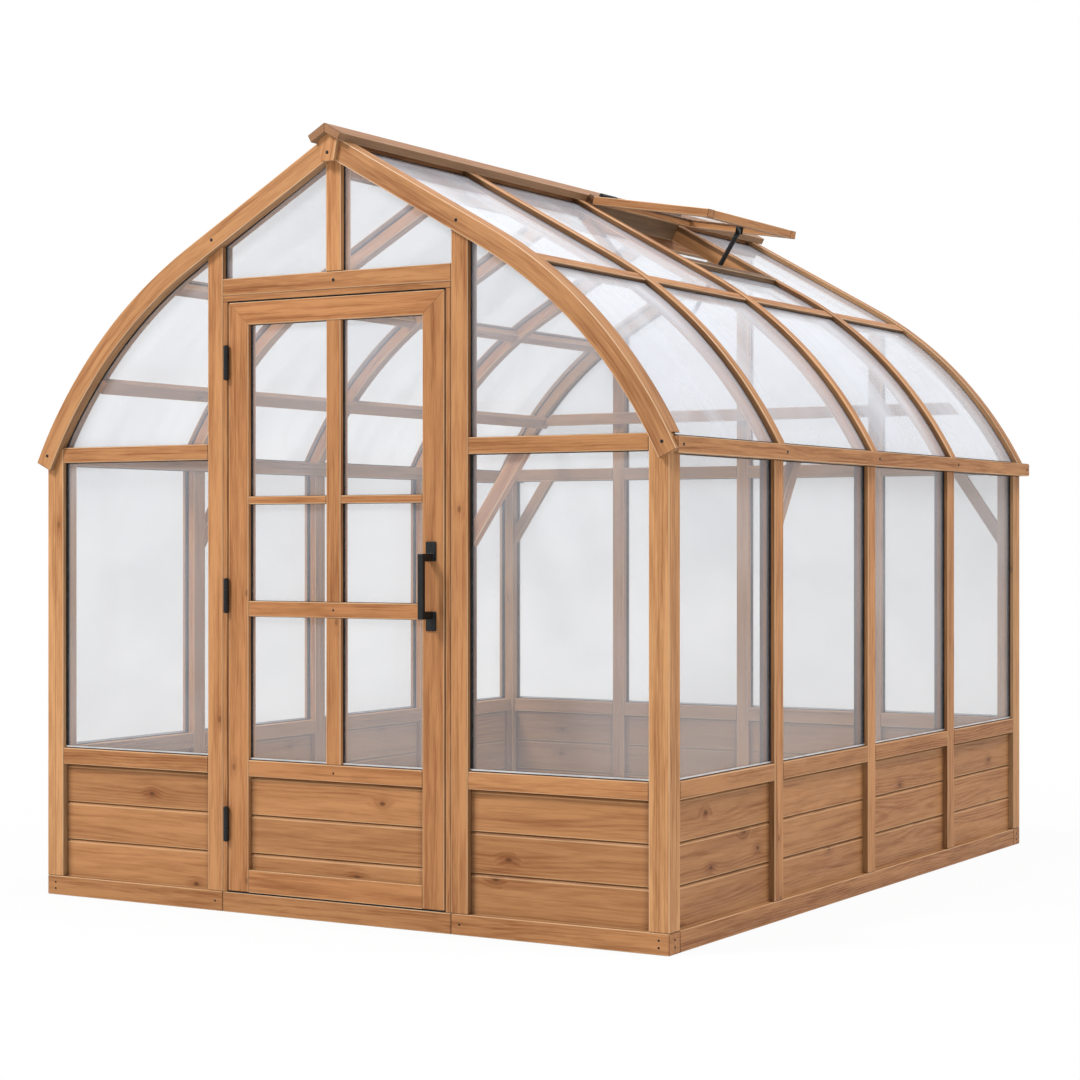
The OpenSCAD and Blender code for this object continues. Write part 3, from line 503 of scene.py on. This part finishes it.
def bent_grain(points, edges):
    """Places along the roof's line, across it and into it, for beams that follow the roof."""
    x = np.abs(points[:, 0]) - arc_x
    z = points[:, 2] - arc_z
    turned = np.maximum(np.arctan2(x, z) - pitch, 0)
    straight = x * math.cos(pitch) - z * math.sin(pitch)
    along = np.where(turned > 0, turned * curve_r, straight)
    height = np.where(turned > 0, np.hypot(x, z), x * math.sin(pitch) + z * math.cos(pitch))
    return np.stack([along, points[:, 1], curve_r - height], axis=1)


# A brighter painted highlight along the edges of the roof's beams
bright_edge_highlight = (0.90, 0.64, 0.41)
arch_cedar = timber_finish("arch_cedar", (0.60, 0.292, 0.122), (0.31, 0.118, 0.042),
                           bright_edge_highlight, rings=0.25, knots=0.9)
dress_timbers(["arch_front_left", "arch_front_right", "arches_rear"], arch_cedar,
              follow=bent_grain)
rib_cedar = timber_finish("rib_cedar", (0.63, 0.31, 0.132), (0.34, 0.130, 0.046),
                          bright_edge_highlight, rings=0.25, knots=0.4, rebate=0.020)
dress_timbers(["ribs_left", "ribs_right"], rib_cedar, follow=bent_grain)
dress_timbers(["keystone_plate"], arch_cedar)

# Ridge beam, vent trimmers and purlins
# Cedar timbers under the ridge and round the vent's opening, painted darker than the rest as
# painted shade, the vent's trimmers most, and the purlins that are screwed between the ribs.
shaded_cedar = timber_finish("shaded_cedar", (0.21, 0.105, 0.052), (0.10, 0.044, 0.020),
                             edge_highlight_cedar, knots=0.5)
dress_timbers(["vent_trimmers"], shaded_cedar)
shaded_beam_cedar = timber_finish("shaded_beam_cedar", (0.48, 0.235, 0.11), (0.26, 0.10, 0.04), edge_highlight_cedar,
                           knots=0.5)
dress_timbers(["ridge_beam"], shaded_beam_cedar)


def purlin_grain(points, edges):
    """Places along a purlin, down the roof's slope, and into it."""
    down, along, into = bent_grain(points, edges).T
    return np.stack([along, down, into], axis=1)


purlin_cedar = timber_finish("purlin_cedar", (0.61, 0.295, 0.124), (0.32, 0.12, 0.042),
                             bright_edge_highlight, knots=0.5, rebate=0.014)
dress_timbers(["purlins"], purlin_cedar, follow=purlin_grain)

# Ridge cap
# Two cedar boards that meet over the ridge and shed the rain, darker and more weathered than the
# timbers below.
cap_cedar = timber_finish("cap_cedar", (0.385, 0.198, 0.100), (0.245, 0.108, 0.049),
                          (0.62, 0.40, 0.24), rings=0.25, knots=0.3, streaks=0.5)
dress_timbers(["ridge_cap"], cap_cedar, 0.002)

# Glass
# Clear 4 mm sheets, slightly blue, with a pale veil that is a painted reflection of the white
# surroundings, strongest where a sheet is seen from the side and least from below. On the roof the
# painted reflection lies in streaks.
veil_from, veil_to = 0.8, 2.0
# Where a sheet counts as seen from the side, which noise is a streak of painted reflection, which
# way is down, and how much of the veil shadows and scattered light meet
seen_side_on, reflection_streak_range, facing_down, veil_in_shadow = (0.4, 1.0), (0.35, 0.7), (-0.1, -0.02), 0.25


def glazing_finish(name, high_tone, low_tone, veil, side_veil, streaks, streak_stretch, from_below=1.0,
                   rise=1.0):
    """Glass veiled by a painted reflection, by the share veil, or side_veil where it is seen from
    the side.
    """
    material, tree, surface = new_finish(name)
    for key, value in (("Roughness", 0.04), ("IOR", 1.5), ("Specular IOR Level", 1.0)):
        surface[key].default_value = value
    side_on = put(tree, "LayerWeight", {"Blend": 0.5}).outputs["Facing"]
    place = put(tree, "TexCoord").outputs["Object"]
    height = put(tree, "SeparateXYZ", {0: place}).outputs[2]
    tree.links.new(tint(tree, ramp(tree, height, veil_from, veil_to), low_tone, high_tone),
                   surface["Base Color"])
    # Streaks of painted reflection, from a stretched noise
    dust_and_reflection = stretched_noise(tree, place, streak_stretch, 2.0)[0]
    share = ramp(tree, side_on, *seen_side_on, veil, side_veil)
    share = maths(tree, "ADD", share, ramp(tree, dust_and_reflection, *reflection_streak_range, -streaks, streaks), clamp=True)
    share = maths(tree, "MULTIPLY", share, ramp(tree, height, veil_from, veil_to, 1.0, rise))
    facing = put(tree, "SeparateXYZ", {0: put(tree, "NewGeometry").outputs["Normal"]}).outputs[2]
    share = maths(tree, "MULTIPLY", share, ramp(tree, facing, *facing_down, from_below, 1.0))
    path = put(tree, "LightPath").outputs
    passing = maths(tree, "MAXIMUM", path["Is Shadow Ray"], path["Is Diffuse Ray"])
    share = maths(tree, "MULTIPLY", share, ramp(tree, passing, 0.0, 1.0, 1.0, veil_in_shadow))
    tree.links.new(share, surface["Alpha"])
    return material


wall_glass = glazing_finish("wall_glass", (0.64, 0.665, 0.73), (0.65, 0.66, 0.70), 0.155, 0.4,
                            0.03, (1.6, 1.1, 2.4), rise=1.5)
roof_glass = glazing_finish("roof_glass", (0.81, 0.85, 0.94), (0.81, 0.85, 0.94), 0.28, 0.58,
                            0.11, (0.9, 3.6, 0.9), from_below=0.45)
for name in ("wall_panes", "gable_panes", "roof_panes_flat", "roof_panes_curved"):
    finish_node(name, roof_glass if name.startswith("roof") else wall_glass)

# Glazing seals
# Black rubber channels round the edge of each pane, pressed between glass and timber, with a lip
# on both sides of the sheet. They keep the rain out and the glass from rattling.
# The least area of a pane's face, how deep a lip's foot is sunk in the glass, and the share of a
# lip's width that shows along a level edge
smallest_sheet, sunk, level_share = 0.03, -0.0001, 0.4


def pane_sheets(node):
    """The rim of each large face of a node's panes: corners, ways in from them, and normals."""
    shape = bmesh.new()
    shape.from_mesh(nodes[node].data)
    bmesh.ops.remove_doubles(shape, verts=shape.verts, dist=1e-5)
    sheets, seen = [], set()
    for start in shape.faces:
        if start in seen:
            continue
        sheet, reached = [], [start]
        seen.add(start)
        while reached:
            face = reached.pop()
            sheet.append(face)
            for edge in face.edges:
                for other in edge.link_faces:
                    if other not in seen and other.normal.dot(face.normal) > 0.9:
                        seen.add(other)
                        reached.append(other)
        sheets.append(sheet)
    rims = [rim_of(sheet) for sheet in sheets
            if sum(face.calc_area() for face in sheet) > smallest_sheet]
    shape.free()
    return rims


def rim_of(sheet):
    """The corners round a sheet of faces, the mitred way in from each, and the normal there."""
    inside = set(sheet)
    after, way_in, normal = {}, {}, {}
    for face in sheet:
        for loop in face.loops:
            at = loop.vert.index
            normal[at] = normal.get(at, Vector()) + face.normal * face.calc_area()
            if not any(f in inside for f in loop.edge.link_faces if f is not face):
                after[at] = loop.link_loop_next.vert
                along = (loop.link_loop_next.vert.co - loop.vert.co).normalized()
                way_in[at] = face.normal.cross(along)
    vert = next(loop.vert for face in sheet for loop in face.loops if loop.vert.index in after)
    ring = []
    while not ring or vert.index != ring[0].index:
        ring.append(vert)
        vert = after[vert.index]
    corners = [v.co.copy() for v in ring]
    ways = [way_in[v.index] for v in ring]
    mitres = [(way + ways[i - 1]) / (1.0 + way.dot(ways[i - 1])) for i, way in enumerate(ways)]
    return corners, mitres, [normal[v.index].normalized() for v in ring]


def sweep(shape, rings, closed):
    """Skins a row of equal rings of points, and caps the ends of an open one."""
    made = [[shape.verts.new(point) for point in ring] for ring in rings]
    pairs = list(zip(made, made[1:])) + ([(made[-1], made[0])] if closed else [])
    for a, b in pairs:
        for i in range(len(a)):
            j = (i + 1) % len(a)
            shape.faces.new((a[i], b[i], b[j], a[j]))
    if not closed:
        shape.faces.new(made[0])
        shape.faces.new(reversed(made[-1]))


def new_piece(name, shape, material, body, smooth=True):
    bmesh.ops.recalc_face_normals(shape, faces=shape.faces)
    mesh = bpy.data.meshes.new(name)
    shape.to_mesh(mesh)
    shape.free()
    if smooth:
        mesh.shade_smooth()
        mesh.set_sharp_from_angle(angle=math.radians(40))
    mesh.materials.append(material)
    piece = bpy.data.objects.new(name, mesh)
    bpy.context.scene.collection.objects.link(piece)
    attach(piece, body)
    return piece


def lip_profile(width, height):
    """A rubber lip, round where it meets the sheet: in from the pane's edge, out from the glass."""
    return [(0.0, sunk), (0.0, height), (width * 0.45, height), (width * 0.8, height * 0.72),
            (width, height * 0.3), (width, sunk)]


def seal_panes(name, node, body, width, height, foot=level_share):
    """Lips on both faces of each pane. Those along its level edges are mostly sunk in the groove,
    apart from the lowest where it has a foot of its own width."""
    shape = bmesh.new()
    for corners, mitres, normals in pane_sheets(node):
        top = max(c.z for c in corners) - 0.002
        low = min(c.z for c in corners) + 0.002
        slim = [Vector((1.0, 1.0, foot if c.z <= low else level_share if c.z >= top else 1.0))
                for c in corners]
        rings = [[c + m * f * across + n * out for across, out in lip_profile(width, height)]
                 for c, m, f, n in zip(corners, mitres, slim, normals)]
        sweep(shape, rings, closed=True)
    new_piece(name, shape, black_rubber, body)


def rubber_finish():
    material, tree, surface = new_finish("black_rubber")
    place = put(tree, "TexCoord").outputs["Object"]
    dust_and_reflection = put(tree, "TexNoise", {"Vector": place, "Scale": 35.0, "Detail": 4.0}).outputs[0]
    pores = put(tree, "TexNoise", {"Vector": place, "Scale": 1400.0, "Detail": 1.0}).outputs[0]
    tree.links.new(tint(tree, ramp(tree, dust_and_reflection, 0.45, 0.8), (0.012, 0.012, 0.013),
                        (0.045, 0.044, 0.043)), surface["Base Color"])
    tree.links.new(ramp(tree, dust_and_reflection, 0.3, 0.7, 0.5, 0.72), surface["Roughness"])
    raise_bumps(tree, surface, pores, 0.3, 0.0001)
    surface["Specular IOR Level"].default_value = 0.2
    return material


black_rubber = rubber_finish()
seal_panes("wall_seals", "wall_panes", "frame", width=0.006, height=0.005)
seal_panes("gable_seals", "gable_panes", "frame", width=0.003, height=0.002)
seal_panes("flat_roof_seals", "roof_panes_flat", "frame", width=0.003, height=0.001)
seal_panes("curved_roof_seals", "roof_panes_curved", "frame",
           width=0.003, height=0.001, foot=2.4)
seal_panes("door_seals", "door_panes", "door", width=0.004, height=0.003)
seal_panes("vent_seals", "vent_pane", "vent", width=0.003, height=0.001)

# Glazing strips
# Thin mill-finished aluminium strips along the lower edge of the wall panes and the lowest door
# panes, which lead the rain over the seal. Their light line also stands in for a highlight along
# each pane's lower edge. Each is a small channel with a folded lip.
strip_low, strip_high, strip_out, strip_skin, strip_trim = 0.003, 0.008, 0.0075, 0.001, 0.001


def brushed_finish():
    material, tree, surface = new_finish("mill_aluminium")
    surface["Metallic"].default_value = 0.6
    place = put(tree, "TexCoord").outputs["Object"]
    brushed = stretched_noise(tree, place, (9.0, 9.0, 900.0), 3.0)[0]
    dull = stretched_noise(tree, place, (14.0, 14.0, 40.0), 3.0)[0]
    tree.links.new(tint(tree, ramp(tree, dull, 0.35, 0.7), (0.72, 0.73, 0.74),
                        (0.56, 0.57, 0.58)), surface["Base Color"])
    tree.links.new(ramp(tree, brushed, 0.3, 0.7, 0.3, 0.46), surface["Roughness"])
    raise_bumps(tree, surface, brushed, 0.15, 0.0001)
    return material


mill_aluminium = brushed_finish()


def strip_panes(name, node, body, highest=1.0):
    """A strip along the lower edge of the outer face of each pane that starts below a height."""
    profile = [(strip_low, 0.0), (strip_low, strip_out), (strip_high, strip_out),
               (strip_high, strip_out - strip_skin),
               (strip_low + strip_skin, strip_out - strip_skin), (strip_low + strip_skin, 0.0)]
    shape = bmesh.new()
    for corners, _, normals in pane_sheets(node):
        middle = sum(corners, Vector()) / len(corners)
        floor_z = min(c.z for c in corners)
        out = normals[0]
        if floor_z > highest or out.dot(Vector((middle.x, middle.y, 0.0))) < 0:
            continue
        low_ends = sorted((c for c in corners if c.z < floor_z + 0.001), key=lambda c: c.x + c.y)
        trim = (low_ends[-1] - low_ends[0]).normalized() * strip_trim
        rings = [[end + out * away + Vector((0.0, 0.0, up)) for up, away in profile]
                 for end in (low_ends[0] + trim, low_ends[-1] - trim)]
        sweep(shape, rings, closed=False)
    new_piece(name, shape, mill_aluminium, body, smooth=False)


strip_panes("wall_glazing_strips", "wall_panes", "frame")
strip_panes("door_glazing_strips", "door_panes", "door", highest=0.7)

# Ironwork
# Hinges, catch, handle and the vent's stay, in steel with a matt black coating that is rubbed a
# little lighter here and there. They are screwed to the timbers.


def coated_finish(name, colour, rough):
    material, tree, surface = new_finish(name)
    place = put(tree, "TexCoord").outputs["Object"]
    peel = put(tree, "TexNoise", {"Vector": place, "Scale": 900.0, "Detail": 2.0}).outputs[0]
    rubbed = put(tree, "TexNoise", {"Vector": place, "Scale": 22.0, "Detail": 3.0}).outputs[0]
    lighter = tuple(c * 1.9 for c in colour)
    tree.links.new(tint(tree, ramp(tree, rubbed, 0.4, 0.75), colour, lighter),
                   surface["Base Color"])
    tree.links.new(ramp(tree, rubbed, 0.3, 0.7, rough + 0.08, rough - 0.06), surface["Roughness"])
    raise_bumps(tree, surface, peel, 0.25, 0.0002)
    surface["Specular IOR Level"].default_value = 0.3
    return material


def dress_ironwork(names, softness, segments=2):
    for name in names:
        soften_edges(name, softness, segments)
        finish_node(name, black_coat)


black_coat = coated_finish("black_coat", (0.006, 0.0065, 0.007), 0.44)
dress_ironwork(["fixed_hinge_leaves", "hinge_pins", "door_catch", "stay_bracket",
                "door_hinge_leaves", "vent_hinge_leaves", "vent_bracket", "stay_guide",
                "stay_rod"], 0.001)
dress_ironwork(["door_catch_plate"], 0.0006)
dress_ironwork(["door_handle"], 0.004, segments=4)

# Screws and bolts
# Black steel pan heads with a hexagon socket, which hold the frame's joints and the door's
# handle. They sit on the timber and the handle's feet.
around_head = 36
# A head's rings, from its foot to the socket's floor: share of the radius, of the height, hexagon
head_rings = [(0.98, 0.0, False), (1.0, 0.3, False), (0.96, 0.62, False), (0.82, 0.88, False),
              (0.6, 1.0, False), (0.46, 1.0, True), (0.44, 0.3, True)]


def socket_heads(name, node, body):
    """A domed head with a hexagon socket for each plain head of a CAD node."""
    shape = bmesh.new()
    places, solids = separate_solids(nodes[node].data)
    for members, _ in solids:
        points = places[members]
        middle = points.mean(0)
        axis = np.linalg.svd(points - middle, full_matrices=False)[2][2]
        axis = axis * (1.0 if axis[:2] @ middle[:2] > 0 else -1.0)
        depth = np.ptp(points @ axis)
        off_axis = points - middle - np.outer((points - middle) @ axis, axis)
        radius = np.linalg.norm(off_axis, axis=1).max()
        base, out = Vector(middle - axis * depth / 2), Vector(axis)
        across = out.orthogonal().normalized()
        up = out.cross(across)
        rings = []
        for share, height, hexagonal in head_rings:
            ring = []
            for i in range(around_head):
                turn = 2 * math.pi * i / around_head
                flat = math.cos(math.pi / 6) / math.cos((turn % (math.pi / 3)) - math.pi / 6)
                reach = radius * share * (flat if hexagonal else 1.0)
                ring.append(base + out * (height * depth)
                            + (across * math.cos(turn) + up * math.sin(turn)) * reach)
            rings.append(ring)
        sweep(shape, rings, closed=False)
    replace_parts(new_piece(name, shape, black_coat, body), node)


socket_heads("frame_screw_heads", "frame_screws", "frame")
socket_heads("door_screw_heads", "door_screws", "door")

# Door
# A lining with stops, screwed between the studs, and a leaf of stiles, rails and glazing bars in
# the same cedar, with three boards below and six panes above.
lining_cedar = timber_finish("lining_cedar", early_cedar, late_cedar, (0.13, 0.052, 0.021))
dress_timbers(["door_lining"], lining_cedar, 0.0015)
door_cedar = timber_finish("door_cedar", (0.57, 0.258, 0.101), (0.31, 0.113, 0.037), edge_highlight_cedar,
                           rings=0.22, knots=0.6)
dress_timbers(["door_stiles", "door_rails", "door_glazing_bars"], door_cedar, 0.0025)
dress_timbers(["door_boards"], board_cedar, board_softness)
finish_node("door_panes", wall_glass)

# Door gap seals
# Black rubber strips let into the lining's lock side and head and into the threshold, opposite the
# edges of the leaf. Their two ribs leave 2 mm to the leaf.
lining_t, threshold_gap = 0.020, 0.003
lining_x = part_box("door_lining")[1].x - lining_t
lining_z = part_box("door_lining")[1].z - lining_t
threshold_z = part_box("door_threshold")[1].z
seal_front, seal_width, seal_reach, rib_steps = -1.523, 0.010, 0.003, 24


def rib_profile():
    """Across the strip and out from its base: two soft ribs with a groove between them."""
    ribs = []
    for i in range(1, rib_steps):
        share = i / rib_steps
        wave = 0.62 + 0.38 * abs(math.sin(2 * math.pi * share))
        ribs.append((seal_width * share, seal_reach * wave * min(1.0, 8 * share, 8 * (1 - share))))
    return [(0.0, sunk)] + ribs + [(seal_width, sunk)]


def gap_seals():
    shape = bmesh.new()
    lock_foot, lock_head = (lining_x, threshold_z + threshold_gap), (lining_x, lining_z)
    hinge_head = (-lining_x, lining_z)
    lock_sill, hinge_sill = (lining_x, threshold_z), (-lining_x, threshold_z)
    for ends, outward in (((lock_foot, lock_head), (-1.0, 0.0)),
                          ((lock_head, hinge_head), (0.0, -1.0)),
                          ((lock_sill, hinge_sill), (0.0, 1.0))):
        rings = [[(x + outward[0] * out, seal_front + back, z + outward[1] * out)
                  for back, out in rib_profile()] for x, z in ends]
        sweep(shape, rings, closed=False)
    new_piece("door_gap_seals", shape, black_rubber, "frame")


gap_seals()

# Roof vent
# A light cedar sash with one pane, hung on two hinges under the ridge cap and held open by its
# stay.
dress_timbers(["vent_sash"], rail_cedar, 0.002)
finish_node("vent_pane", roof_glass)

# Floor and studio
# A plain white floor that keeps a faint shadow, white all round, and two large soft lamps.
floor_radius, floor_drop = 40.0, 0.0005
floor_tone, white = (0.86, 0.86, 0.86, 1.0), (1.0, 1.0, 1.0, 1.0)
# The floor's own light under the building and all round it, from and to these distances
glow_from, glow_to, glow_low, glow_high, sky_level = 1.8, 4.5, 0.93, 1.0, 0.38


def studio_rays(tree):
    """1 for the rays that show the background: those of the camera, of gloss and through glass."""
    path = put(tree, "LightPath").outputs
    seen = maths(tree, "MAXIMUM", path["Is Camera Ray"], path["Is Glossy Ray"])
    return maths(tree, "MAXIMUM", seen, path["Is Transmission Ray"])


floor_mesh = bpy.data.meshes.new("studio_floor")
floor_shape = bmesh.new()
bmesh.ops.create_circle(floor_shape, cap_ends=True, segments=64, radius=floor_radius)
floor_shape.to_mesh(floor_mesh)
floor_shape.free()
floor = bpy.data.objects.new("studio_floor", floor_mesh)
floor.location.z = -floor_drop
bpy.context.scene.collection.objects.link(floor)
floor_white = bpy.data.materials.new("floor_white")
floor_white.use_nodes = True
floor_tree = floor_white.node_tree
floor_tree.nodes.clear()
matt = put(floor_tree, "BsdfDiffuse", {"Color": floor_tone})
glow = put(floor_tree, "Emission", {"Color": white, "Strength": 1.0})
from_middle = put(floor_tree, "VectorMath", {0: put(floor_tree, "TexCoord").outputs["Object"]},
                  operation="LENGTH").outputs["Value"]
glow_share = maths(floor_tree, "MULTIPLY", studio_rays(floor_tree),
                   ramp(floor_tree, from_middle, glow_from, glow_to, glow_low, glow_high))
floor_mix = put(floor_tree, "MixShader", {0: glow_share, 1: matt.outputs[0], 2: glow.outputs[0]})
floor_out = floor_tree.nodes.new("ShaderNodeOutputMaterial")
floor_tree.links.new(floor_mix.outputs[0], floor_out.inputs[0])
floor_mesh.materials.append(floor_white)

world = bpy.data.worlds.new("studio")
bpy.context.scene.world = world
world.use_nodes = True
sky = world.node_tree.nodes["Background"]
level = ramp(world.node_tree, studio_rays(world.node_tree), 0.0, 1.0, sky_level, 1.0)
world.node_tree.links.new(level, sky.inputs["Strength"])
sky.inputs["Color"].default_value = white


def soft_lamp(name, place, target, size, power):
    lamp = bpy.data.lights.new(name, "AREA")
    lamp.shape = "DISK"
    lamp.size = size
    lamp.energy = power
    holder = bpy.data.objects.new(name, lamp)
    holder.location = place
    holder.rotation_euler = (Vector(target) - Vector(place)).to_track_quat("-Z", "Y").to_euler()
    bpy.context.scene.collection.objects.link(holder)


soft_lamp("key_lamp", (-4.5, -8.0, 9.5), (0.0, -0.5, 1.2), 3.0, 955.0)
soft_lamp("fill_lamp", (6.5, 0.5, 12.0), (0.6, 0.0, 1.2), 4.0, 790.0)

# Camera
# At 1.23 m height, turned 31 degrees to the front, as the photograph was taken.
image_px = 1080
focal_px = 2374.4
camera_turn = math.radians(30.84)
camera = bpy.data.cameras.new("photo_camera")
camera.sensor_width = 36.0
camera.lens = focal_px * camera.sensor_width / image_px
eye = bpy.data.objects.new("photo_camera", camera)
eye.location = (4.488, -7.744, 1.231)
eye.rotation_euler = (math.pi / 2, 0.0, camera_turn)
bpy.context.scene.collection.objects.link(eye)
bpy.context.scene.camera = eye
bpy.context.scene.view_settings.view_transform = "Standard"
